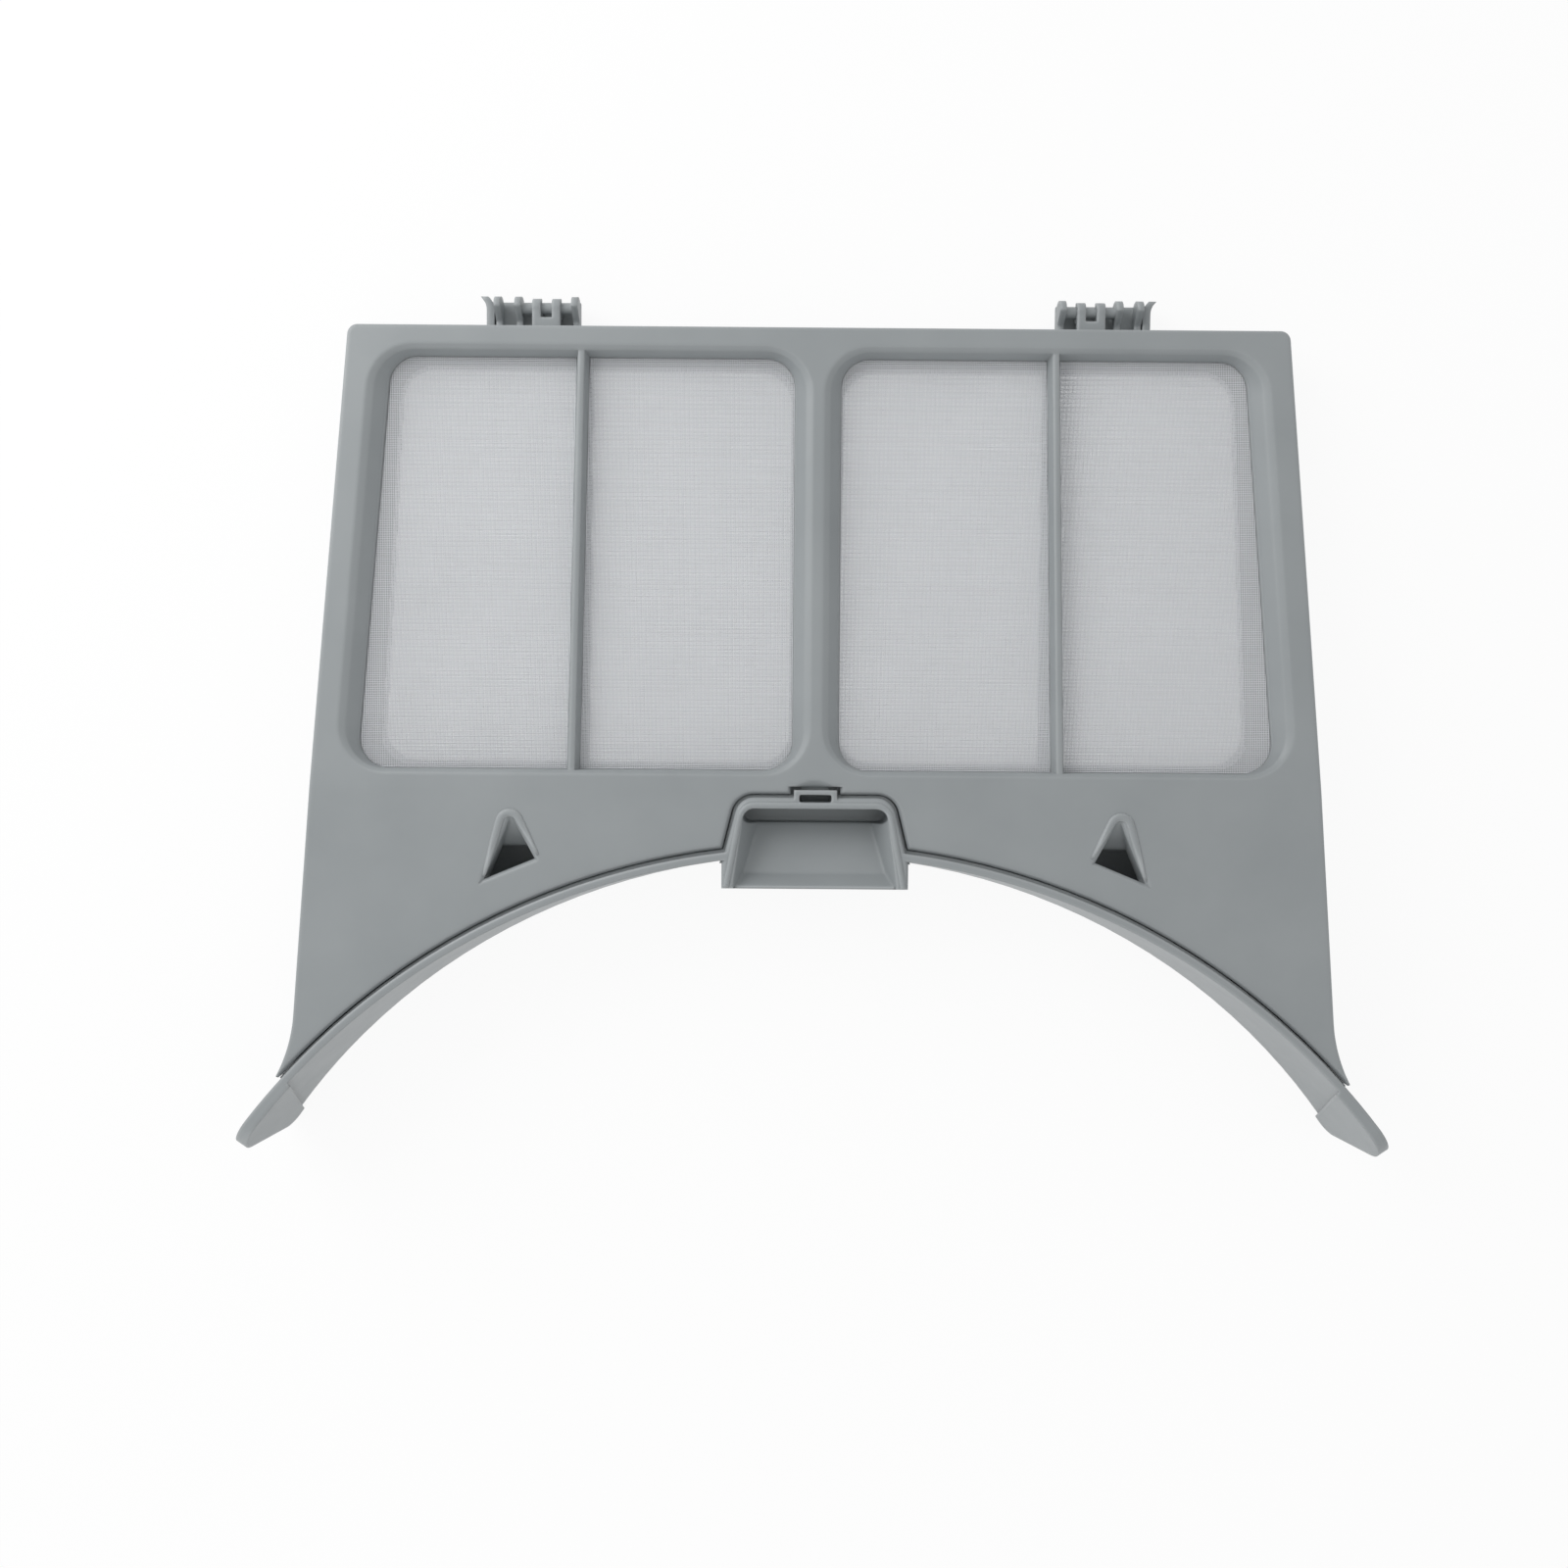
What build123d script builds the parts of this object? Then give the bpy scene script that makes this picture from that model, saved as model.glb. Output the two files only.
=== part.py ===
from build123d import *

import os
from math import acos, cos, degrees, radians, sin, tan

os.makedirs("parts", exist_ok=True)

# Tumble dryer lint filter: a wedge-shaped cassette of two moulded halves that opens like a book.
# It lies on its rear face. +X to the right, +Y towards the hinges, +Z up, millimetres.

# The wedge
wedge_angle = 5.8  # between the front face and the rear face
half_depth = 14.1  # from the parting plane to either face, at the cross bar
wall = 2.0
edge_round = 0.8
bevel_slope = 45.0
touch = 0.01  # nearer than this, an edge counts as lying in a plane

# The outline, measured from the cross bar between the windows and the handle
hinge_end = 130.5
hinge_end_half_width = 134.8
side_slope = 4.34
corner_round = 3.0
hip_flare = 3.75
hip_run = 17.8
hip_land = 0.8
crease_line = -1.4
crease_angle = 2.0

# The arch of the door opening and its sill
sill_crown = -21.8
sill_radius = 202.1
sill_draft = 5.9
sill_wall = 2.25
lip_rise = 1.0
cover_gap = 1.2
groove_depth = 1.5
ledge_wall = 1.2
ledge_gap = 0.3
wing_run = 7.1  # degrees about the arch, past the hips
wing_front_round = 11.0
wing_rear_round = 4.0
pad_run = 2.2  # degrees about the arch, past the hips
pad_skew = 29.0
pad_thickness = 1.2

# The windows
window_bottom = 3.4
window_corner = 10.4
front_window_top = 124.2
front_margin = 7.8
front_mullion = 5.2
front_recess = 5.0
front_slope_side = 4.2
front_slope_top = 1.2
front_slope_bottom = 0.6
front_bevel = 1.0
rear_window_top = 122.9
rear_margin = 12.0
rear_mullion = 11.0
rear_recess = 4.0
rear_slope = 2.0
collar_wall = 1.2
rib_top_x = 68.0
rib_bottom_x = 70.0
rib_base = 3.8
rib_crest = 1.7
rib_sink = 1.0

# The woven screens
mesh_thickness = 0.4
mesh_overlap = 1.2
mesh_column = 20.0
mesh_row = 24.0
mesh_corner = 6.0
mesh_thread = 1.3
mesh_border = 2.0

# The handle
handle_top = -3.9
handle_end = -30.0
handle_shoulder = -23.0
handle_top_half = 21.7
handle_end_half = 26.7
handle_corner = 5.5
handle_rim_top = 3.1
handle_depth = 17.0
handle_under_angle = 15.0
handle_bevel = 0.7
pocket_end = -30.7
pocket_top_half = 20.4
pocket_end_half = 23.8
pocket_floor_top = -11.6
pocket_floor_end = -26.0
pocket_floor_top_half = 16.6
pocket_floor_end_half = 20.6
pocket_depth = 10.5
pocket_floor_angle = 22.0
slit_depth = 14.5
slit_half = 20.9
handle_gap = 1.0
cutout_skirt = 1.6
cutout_bevel = 0.8

# The latch
eye_width = 12.3
eye_rise = 2.2
eye_thickness = 2.5
eye_slot_width = 9.2
eye_slot_height = 2.2
eye_bar = 1.3
eye_slot_depth = 12.0
eye_slot_round = 0.6
scoop_radius = 8.2
scoop_rise = 2.2
scoop_slope = 26.0
scoop_depth = 1.3
tongue_width = 8.0
tongue_wall = 1.6
tongue_root = 1.4
tongue_barb = 1.4
tongue_barb_height = 2.0
latch_gap = 0.5

# The ramped triangular pockets
pocket_apex = (87.1, -9.5)
pocket_inner = (80.3, -22.0)
pocket_outer = (95.0, -28.0)
pocket_boss_wall = 1.3
pocket_boss_depth = 8.0
pocket_ramp_angle = 40.0
pocket_bevel = 0.8

# The air inlet on the drum side
inlet_top = -8.0
inlet_inner_x = 34.0
inlet_margin = 14.0
inlet_land = 5.0
inlet_bar_x = 59.0
inlet_bar = 3.0
inlet_shade_x = 96.0
inlet_shade = 26.0
inlet_low = -90.0

# The lint rim that the cover's skirt closes over
rim_gap = 0.3
rim_wall = 1.1
rim_rise = 1.6
rim_root = 3.0

# The clip hinges
hinge_axis = 137.2
hinge_inner_x = 69.8
web_thickness = 1.8
web_radius = 3.4
web_foot = 6.5
web_starts = (0.0, 16.4, 22.4)
axle_radius = 1.5
axle_clearance = 0.05
clip_wall = 1.3
clip_width = 2.4
clip_count = 2
clip_mouth = 76.0
clip_mouth_turn = -45.0
clip_arm_low = 0.5
clip_arm_high = 2.7
clip_bar_gap = 0.2
tray_gap = 0.45
tray_wall = 1.3
tray_reach = 2.9
notch_reach = 1.8
horn_start = 24.8
horn_thickness = 2.2
horn_flare = 1.7
horn_reach = 3.7
horn_drop = 4.5

half_angle = wedge_angle / 2
reach = 4 * half_depth  # longer than any depth of the cassette, for blanks that are trimmed afterwards
arch_drop = sill_radius - sill_crown
cover_radius = sill_radius + half_depth * tan(radians(sill_draft)) + sill_wall + cover_gap
hinge_wall_reach = hinge_axis - hinge_end


def side_x(w):
    """Half-width of the body at a distance from the cross bar."""
    return hinge_end_half_width + (hinge_end - w) * tan(radians(side_slope))


# The hips end where the side's line, moved out by their flare, meets the land beside the arch
flare_line = (side_x(0) + hip_flare) * cos(radians(side_slope)) + arch_drop * sin(radians(side_slope))
hip_angle = 90 - side_slope - degrees(acos(flare_line / (cover_radius + hip_land)))

# Each half's windows: their top, their margin to the side and the land between them, and their wells' slopes
front_window = (front_window_top, front_margin, front_mullion)
front_slopes = (front_slope_side, front_slope_top, front_slope_bottom)
rear_window = (rear_window_top, rear_margin, rear_mullion)
rear_slopes = (rear_slope, rear_slope, rear_slope)


def tilted(angle, origin):
    """Plane that faces up and rises towards the arch by an angle."""
    return Plane(origin=origin, x_dir=(1, 0, 0), z_dir=(0, sin(radians(angle)), cos(radians(angle))))


# The parting plane halves the wedge, and the rear face lies on the ground
parting = tilted(half_angle, (0, 0, half_depth * cos(radians(half_angle))))
front = tilted(wedge_angle, parting.from_local_coords((0, 0, half_depth)))
rear = tilted(0, parting.from_local_coords((0, 0, -half_depth)))
apron_angle = wedge_angle - crease_angle
apron = tilted(apron_angle, front.from_local_coords((0, crease_line, 0)))
lip = apron.offset(lip_rise)
front_mesh_seat = front.offset(-front_recess)
rear_mesh_seat = rear.offset(rear_recess)
arch_axis = Axis(parting.from_local_coords((0, -arch_drop, 0)), parting.z_dir)


def polar(radius, angle):
    """Point about the arch axis, by its angle from the line of symmetry."""
    return (radius * sin(radians(angle)), radius * cos(radians(angle)) - arch_drop)


def body_outline(arch_radius):
    """Outline of one half: hinge end, sloping sides, flared hips and the arch."""
    top = (hinge_end_half_width, hinge_end)
    hip_end = polar(cover_radius + hip_land, hip_angle)
    hip = (side_x(hip_end[1] + hip_run), hip_end[1] + hip_run)
    along_side = (hip[0] - top[0], hip[1] - top[1])
    with BuildSketch() as outline:
        with BuildLine():
            Line((0, hinge_end), top)
            Line(top, hip)
            TangentArc(hip, hip_end, tangent=along_side)
            Line(hip_end, polar(arch_radius, hip_angle))
            ThreePointArc(*[polar(arch_radius, angle) for angle in (hip_angle, hip_angle / 2, 0)])
            mirror(about=Plane.YZ)
        make_face()
    return outline.sketch


def inset_outline(arch_radius, inset):
    """Outline of one half, moved inwards by a wall."""
    with BuildSketch() as outline:
        add(body_outline(arch_radius))
        offset(amount=-inset, kind=Kind.INTERSECTION)
    return outline.sketch


def window_outline(window, slopes=(0.0, 0.0, 0.0), grow=0.0):
    """Right-hand window: straight at the mullion, its outer edge along the body's side."""
    window_top, window_margin, mullion = window
    slope_side, slope_top, slope_bottom = slopes
    inner = mullion / 2 + slope_side - grow
    top = window_top - slope_top + grow
    bottom = window_bottom + slope_bottom - grow
    margin = window_margin + slope_side - grow
    with BuildSketch() as outline:
        with BuildLine():
            Polyline(
                (inner, bottom),
                (side_x(bottom) - margin, bottom),
                (side_x(top) - margin, top),
                (inner, top),
                close=True,
            )
        make_face()
    return outline.sketch


def window_pair(window, grow):
    """Both windows, grown by the wall of their collars."""
    with BuildSketch() as pair:
        add(window_outline(window, grow=grow))
        mirror(about=Plane.YZ)
    return pair.sketch


def handle_outline(grow=0.0):
    """Outline of the handle: narrow at the top, with straight ears below the arch."""
    with BuildSketch() as outline:
        with BuildLine():
            Polyline(
                (-handle_top_half - grow, handle_top + grow),
                (handle_top_half + grow, handle_top + grow),
                (handle_end_half + grow, handle_shoulder),
                (handle_end_half + grow, handle_end - grow),
                (-handle_end_half - grow, handle_end - grow),
                (-handle_end_half - grow, handle_shoulder),
                close=True,
            )
        make_face()
        fillet(outline.vertices().group_by(Axis.Y)[-1], handle_corner + grow)
    return outline.sketch


def sill_inner(height):
    """Inner radius of the sill at a height above the parting plane."""
    return sill_radius + height * tan(radians(sill_draft))


def well_section(window, slopes, share, grow=0.0):
    """Rounded outline of a window's well, at a share of its depth."""
    with BuildSketch() as section:
        add(window_outline(window, [slope * share for slope in slopes], grow))
        fillet(section.vertices(), window_corner + slopes[0] * (0.5 - share) + grow)
    return section.sketch


def window_well(face, depth, window, slopes, share=1.0, grow=0.0):
    """Sunk sides of both windows, from a face of the body down to the screen's seat or a share of the way."""
    with BuildPart() as well:
        with BuildSketch(face):
            add(well_section(window, slopes, 0.0, grow))
        with BuildSketch(face.offset(depth * share)):
            add(well_section(window, slopes, share))
        loft()
        mirror(about=Plane.YZ)
    return well.part


def window_ribs(face, depth, window):
    """One upright rib across each window, from the screen's seat almost to the face."""
    foot = face.offset(depth).from_local_coords((rib_bottom_x, window_bottom - collar_wall / 2, 0))
    head = face.offset(depth).from_local_coords((rib_top_x, window[0] + collar_wall / 2, 0))
    rise = (abs(depth) - rib_sink) * (-1 if depth > 0 else 1)
    with BuildPart() as ribs:
        with BuildSketch(Plane(origin=foot, x_dir=(1, 0, 0), z_dir=head - foot)) as section:
            with BuildLine():
                Polyline(
                    (-rib_base / 2, 0),
                    (rib_base / 2, 0),
                    (rib_crest / 2, -rise),
                    (-rib_crest / 2, -rise),
                    close=True,
                )
            make_face()
        extrude(section.sketch, amount=(head - foot).length)
        mirror(about=Plane.YZ)
    return ribs.part


def on_flank(edge):
    """Whether an edge of a face runs along the body's end or sides, hips included."""
    place = parting.to_local_coords(edge.center())
    return edge.length > 2 * hip_land and (abs(place.X) > hinge_inner_x or place.Y > front_window_top)


def lies_on(edge, plane):
    """Whether an edge lies in a plane."""
    return abs(plane.to_local_coords(edge.center()).Z) < touch


def at_handle(edge):
    """Whether an edge of the apron runs round the cut-out for the handle."""
    place = edge.center()
    return lies_on(edge, apron) and abs(place.X) < handle_end_half + handle_gap and place.Y < crease_line


def hinge_plane(x):
    """Plane across the hinge at a place along it: local x towards +Y, local y off the parting plane."""
    origin = parting.from_local_coords((hinge_inner_x + x, hinge_axis, 0))
    return Plane(origin=origin, x_dir=parting.y_dir, z_dir=(1, 0, 0))


# Hollow inside of the cover, with the collars round the windows and the handle left standing
with BuildPart() as cover_hollow:
    with BuildSketch(parting):
        add(inset_outline(cover_radius, wall))
        add(window_pair(front_window, collar_wall), mode=Mode.SUBTRACT)
        add(handle_outline(handle_gap + cutout_skirt), mode=Mode.SUBTRACT)
    extrude(amount=reach)
    split(bisect_by=front.offset(-wall), keep=Keep.BOTTOM)
    split(bisect_by=apron.offset(-wall), keep=Keep.BOTTOM)

# Space below the front screens, which ends the collars at the screens' seat
with BuildPart() as cover_pane_space:
    with BuildSketch(parting):
        add(window_pair(front_window, collar_wall))
    extrude(amount=reach)
    split(bisect_by=front_mesh_seat, keep=Keep.BOTTOM)

# Funnel of a triangular pocket: a boss on the cover, cut on a ramp that starts at the apex
ramp_start = apron.from_local_coords((0, pocket_apex[1] - crease_line, 0))
ramp = tilted(apron_angle - pocket_ramp_angle, ramp_start)
apron_corners = [(x, w - crease_line) for x, w in (pocket_apex, pocket_inner, pocket_outer)]
with BuildPart() as pocket_boss:
    with BuildSketch(apron):
        with BuildLine():
            Polyline(*apron_corners, close=True)
        make_face()
        offset(amount=pocket_boss_wall, kind=Kind.INTERSECTION)
    extrude(amount=-pocket_boss_depth)
    split(bisect_by=ramp.offset(-pocket_boss_wall), keep=Keep.TOP)
    mirror(about=Plane.YZ)

with BuildPart() as pocket_cut:
    with BuildSketch(apron) as pocket_face:
        with BuildLine():
            Polyline(*apron_corners, close=True)
        make_face()
    extrude(amount=-reach / 2)
    split(bisect_by=ramp, keep=Keep.TOP)
    with BuildSketch(apron):
        add(pocket_face.sketch_local)
        offset(amount=pocket_bevel, kind=Kind.INTERSECTION)
    extrude(amount=-pocket_bevel, taper=bevel_slope)
    mirror(about=Plane.YZ)

front_wells = window_well(front, -front_recess, front_window, front_slopes)
front_rims = window_well(
    front, -front_recess, front_window, front_slopes, share=front_bevel / front_recess, grow=front_bevel
)
front_ribs = window_ribs(front, -front_recess, front_window)

# Bevel along the arch
with BuildPart() as arch_bevel:
    with BuildSketch(apron):
        with Locations((0, -arch_drop - crease_line)):
            Circle(cover_radius + cutout_bevel)
    extrude(amount=-cutout_bevel, taper=bevel_slope)

# Shallow arched scoop in the cover above the latch's eye
with BuildPart() as latch_scoop:
    with BuildSketch(apron):
        with Locations((0, handle_top + eye_rise + handle_gap + scoop_rise - scoop_radius - crease_line)):
            Circle(scoop_radius)
    extrude(amount=-scoop_depth, taper=90 - scoop_slope)

# The snap tongue hangs from the cover beside the handle, and its barb reaches under the eye's bar
tongue_edge = handle_top + eye_rise + handle_gap - crease_line
barb_top = lip_rise - eye_thickness - latch_gap
barb_foot = barb_top - tongue_barb_height
with BuildPart() as cover_tongue:
    with BuildSketch(Plane(origin=apron.origin, x_dir=apron.y_dir, z_dir=(1, 0, 0))):
        with BuildLine():
            Polyline(
                (tongue_edge, -tongue_root),
                (tongue_edge, barb_top),
                (tongue_edge - tongue_barb, barb_top),
                (tongue_edge, barb_foot),
                (tongue_edge + tongue_wall, barb_foot),
                (tongue_edge + tongue_wall, -tongue_root),
                close=True,
            )
        make_face()
    extrude(amount=tongue_width / 2, both=True)

# Clips of the hinges: open hooks on the cover's end wall that snap over the axles
clip_radius = axle_radius + axle_clearance + clip_wall
clip_room = web_starts[1] - web_starts[0] - web_thickness
clip_space = (clip_room - clip_count * clip_width) / (clip_count + 1)
clip_first = web_starts[0] + web_thickness + clip_space
clip_starts = [clip_first + i * (clip_width + clip_space) for i in range(clip_count)]
arm_root = hinge_wall_reach + wall / 2
arm_height = clip_arm_high - clip_arm_low


def mouth_point(turn):
    """Point well outside a clip, on one side of its mouth."""
    angle = radians(clip_mouth_turn + turn)
    far = clip_radius + hinge_wall_reach
    return (far * cos(angle), far * sin(angle))


with BuildPart() as hinge_clips:
    for clip_start in clip_starts:
        with BuildSketch(hinge_plane(clip_start)):
            Circle(clip_radius)
            with Locations((-arm_root, clip_arm_low)):
                Rectangle(arm_root, arm_height, align=(Align.MIN, Align.MIN))
            Circle(axle_radius + axle_clearance, mode=Mode.SUBTRACT)
            with BuildLine():
                Polyline((0, 0), mouth_point(clip_mouth / 2), mouth_point(-clip_mouth / 2), close=True)
            make_face(mode=Mode.SUBTRACT)
        extrude(amount=clip_width)
    with BuildSketch(hinge_plane(clip_first)):
        with Locations((-arm_root, clip_arm_low)):
            Rectangle(arm_root - clip_radius - clip_bar_gap, arm_height, align=(Align.MIN, Align.MIN))
    extrude(amount=clip_starts[-1] + clip_width - clip_first)
    mirror(about=Plane.YZ)

# The cover: the front half, with its skirt down to the parting plane
with BuildPart() as front_cover:
    with BuildSketch(parting) as cover_face:
        add(body_outline(cover_radius))
        fillet(cover_face.vertices().group_by(Axis.Y)[-1], corner_round)
    extrude(amount=reach)
    split(bisect_by=front, keep=Keep.BOTTOM)
    split(bisect_by=apron, keep=Keep.BOTTOM)
    face_edges = front_cover.faces().filter_by(front).edges() + front_cover.faces().filter_by(apron).edges()
    fillet(face_edges.filter_by(on_flank), edge_round)
    add(cover_hollow.part, mode=Mode.SUBTRACT)
    add(cover_pane_space.part, mode=Mode.SUBTRACT)
    add(front_wells, mode=Mode.SUBTRACT)
    add(front_rims, mode=Mode.SUBTRACT)
    add(front_ribs)
    add(pocket_boss.part)
    add(pocket_cut.part, mode=Mode.SUBTRACT)
    with BuildSketch(parting):
        add(handle_outline(handle_gap))
    extrude(amount=reach, mode=Mode.SUBTRACT)
    with BuildSketch(parting):
        with Locations((0, handle_top + eye_rise / 2)):
            Rectangle(eye_width + 2 * handle_gap, eye_rise + 2 * handle_gap)
    extrude(amount=reach, mode=Mode.SUBTRACT)
    chamfer(front_cover.edges().filter_by(at_handle), cutout_bevel)
    add(arch_bevel.part, mode=Mode.SUBTRACT)
    add(latch_scoop.part, mode=Mode.SUBTRACT)
    add(cover_tongue.part)
    add(hinge_clips.part)
front_cover.part.label = "front_cover"
export_step(front_cover.part, "parts/front_cover.step")

# Hollow inside of the frame, left open at the arch, where the sill closes it
frame_arch_radius = sill_inner(-reach)
with BuildPart() as frame_hollow:
    with BuildSketch(parting):
        add(inset_outline(frame_arch_radius, wall))
        add(window_pair(rear_window, collar_wall), mode=Mode.SUBTRACT)
    extrude(amount=-reach)
    split(bisect_by=rear.offset(wall), keep=Keep.TOP)

# Space above the rear screens, which ends their collars at the screens' seat
with BuildPart() as frame_pane_space:
    with BuildSketch(parting):
        add(window_pair(rear_window, collar_wall))
    extrude(amount=-reach)
    split(bisect_by=rear_mesh_seat, keep=Keep.TOP)

# Everything inside the arch, which the door opening takes up
sill_section = Plane(origin=arch_axis.position, x_dir=parting.y_dir, z_dir=(1, 0, 0))
with BuildPart() as door_opening:
    with BuildSketch(sill_section):
        with BuildLine():
            Polyline(
                (0, -reach),
                (sill_inner(-reach), -reach),
                (sill_inner(reach), reach),
                (0, reach),
                close=True,
            )
        make_face()
    revolve(axis=arch_axis)


def sill_ring(inner, outer):
    """Closed conical ring about the arch, between two distances outside the sill's inner face."""
    with BuildPart() as ring:
        with BuildSketch(sill_section):
            with BuildLine():
                Polyline(
                    (sill_inner(-reach) + inner, -reach),
                    (sill_inner(-reach) + outer, -reach),
                    (sill_inner(reach) + outer, reach),
                    (sill_inner(reach) + inner, reach),
                    close=True,
                )
            make_face()
        revolve(axis=arch_axis)
        split(bisect_by=rear, keep=Keep.TOP)
        split(bisect_by=lip, keep=Keep.BOTTOM)
    return ring.part


def arch_end(run, skew=0.0):
    """Plane across the right end of the arch, some degrees past the hip, that faces the wing's tip."""
    angle = radians(hip_angle + run)
    along = parting.x_dir * cos(angle) - parting.y_dir * sin(angle)
    facing = along * cos(radians(skew)) + parting.z_dir * sin(radians(skew))
    return Plane(origin=parting.from_local_coords(polar(sill_radius, hip_angle + run)), z_dir=facing)


def right_arc(ring, start, end):
    """Stretch of a ring on the right, between two planes across it."""
    with BuildPart() as stretch:
        add(ring)
        split(bisect_by=start, keep=Keep.TOP)
        split(bisect_by=end, keep=Keep.BOTTOM)
    return stretch.part


# The sill: a conical wall round the arch that runs past the body's sides as two wings with rounded ends.
# Each wing has a pad inside, from a skew step to its end.
wing_end = arch_end(wing_run)
with BuildPart() as sill:
    add(right_arc(sill_ring(0, sill_wall), Plane.YZ, wing_end))
    add(right_arc(sill_ring(-pad_thickness, sill_wall / 2), arch_end(pad_run, pad_skew), wing_end))
    lip_end = sill.faces().filter_by(lip).edges().filter_by(GeomType.LINE).sort_by(Axis.Y)[0]
    fillet(lip_end, wing_front_round)
    rear_end = sill.faces().filter_by(rear).edges().filter_by(GeomType.LINE).sort_by(Axis.Y)[0]
    fillet(rear_end, wing_rear_round)
    mirror(about=Plane.YZ)

# The handle: a block through the sill, with a sloped finger pocket and a deep slit under its upper rim
under_start = apron.from_local_coords((0, handle_top - crease_line, -handle_depth))
under = tilted(apron_angle + handle_under_angle, under_start)
with BuildPart() as handle_block:
    with BuildSketch(parting):
        add(handle_outline())
    extrude(amount=reach / 2, both=True)
    split(bisect_by=lip, keep=Keep.BOTTOM)
    split(bisect_by=under, keep=Keep.TOP)
    chamfer(handle_block.faces().filter_by(lip).edges(), handle_bevel)

pocket_top = handle_top - handle_rim_top
floor_run = (pocket_floor_top - pocket_floor_end) / cos(radians(pocket_floor_angle))
floor_start = apron.from_local_coords((0, pocket_floor_top - crease_line, -pocket_depth))
pocket_floor = tilted(apron_angle + pocket_floor_angle, floor_start)
with BuildPart() as handle_pocket:
    with BuildSketch(lip) as pocket_mouth:
        with BuildLine():
            Polyline(
                (-pocket_top_half, pocket_top - crease_line),
                (pocket_top_half, pocket_top - crease_line),
                (pocket_end_half, pocket_end - crease_line),
                (-pocket_end_half, pocket_end - crease_line),
                close=True,
            )
        make_face()
    with BuildSketch(pocket_floor):
        with BuildLine():
            Polyline(
                (-pocket_floor_top_half, 0),
                (pocket_floor_top_half, 0),
                (pocket_floor_end_half, -floor_run),
                (-pocket_floor_end_half, -floor_run),
                close=True,
            )
        make_face()
    loft()
    extrude(pocket_mouth.sketch, amount=lip_rise)
    with BuildSketch(lip):
        with Locations((0, (pocket_top + pocket_floor_top) / 2 - crease_line)):
            SlotOverall(2 * slit_half, pocket_top - pocket_floor_top)
    extrude(amount=-slit_depth - lip_rise)

# Lint rim on the frame, which stands inside the cover's skirt
with BuildPart() as lint_rim:
    with BuildSketch(parting) as rim_face:
        add(inset_outline(cover_radius, wall + rim_gap))
        add(inset_outline(cover_radius, wall + rim_gap + rim_wall), mode=Mode.SUBTRACT)
        with Locations((0, -arch_drop)):
            Circle(cover_radius + wall + rim_root, mode=Mode.SUBTRACT)
    extrude(amount=rim_rise)
    extrude(rim_face.sketch, amount=-rim_root)
    with BuildSketch(parting) as root_face:
        add(inset_outline(cover_radius, wall / 2))
        add(inset_outline(cover_radius, wall + rim_gap + rim_wall), mode=Mode.SUBTRACT)
        with Locations((0, -arch_drop)):
            Circle(cover_radius + wall + rim_root, mode=Mode.SUBTRACT)
    extrude(amount=-rim_root)

# Ledges under the cover's edge, round the arch as far as the hips and round the handle
groove_floor = apron.offset(-groove_depth)
with BuildPart() as arch_ledge:
    with BuildSketch(parting):
        with Locations((0, -arch_drop)):
            Circle(cover_radius - ledge_gap)
            Circle(sill_inner(half_depth) + sill_wall / 2, mode=Mode.SUBTRACT)
    extrude(amount=reach)
    split(bisect_by=arch_end(0), keep=Keep.BOTTOM)
    split(bisect_by=Plane.YZ, keep=Keep.TOP)
    mirror(about=Plane.YZ)
    split(bisect_by=groove_floor, keep=Keep.BOTTOM)
    split(bisect_by=groove_floor.offset(-ledge_wall), keep=Keep.TOP)

with BuildPart() as handle_ledge:
    with BuildSketch(parting):
        add(handle_outline(handle_gap - ledge_gap))
    extrude(amount=reach)
    split(bisect_by=groove_floor, keep=Keep.BOTTOM)
    split(bisect_by=groove_floor.offset(-ledge_wall), keep=Keep.TOP)
    shoulder = parting.from_local_coords((0, handle_shoulder, 0))
    split(bisect_by=Plane(origin=shoulder, z_dir=parting.y_dir), keep=Keep.TOP)

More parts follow.
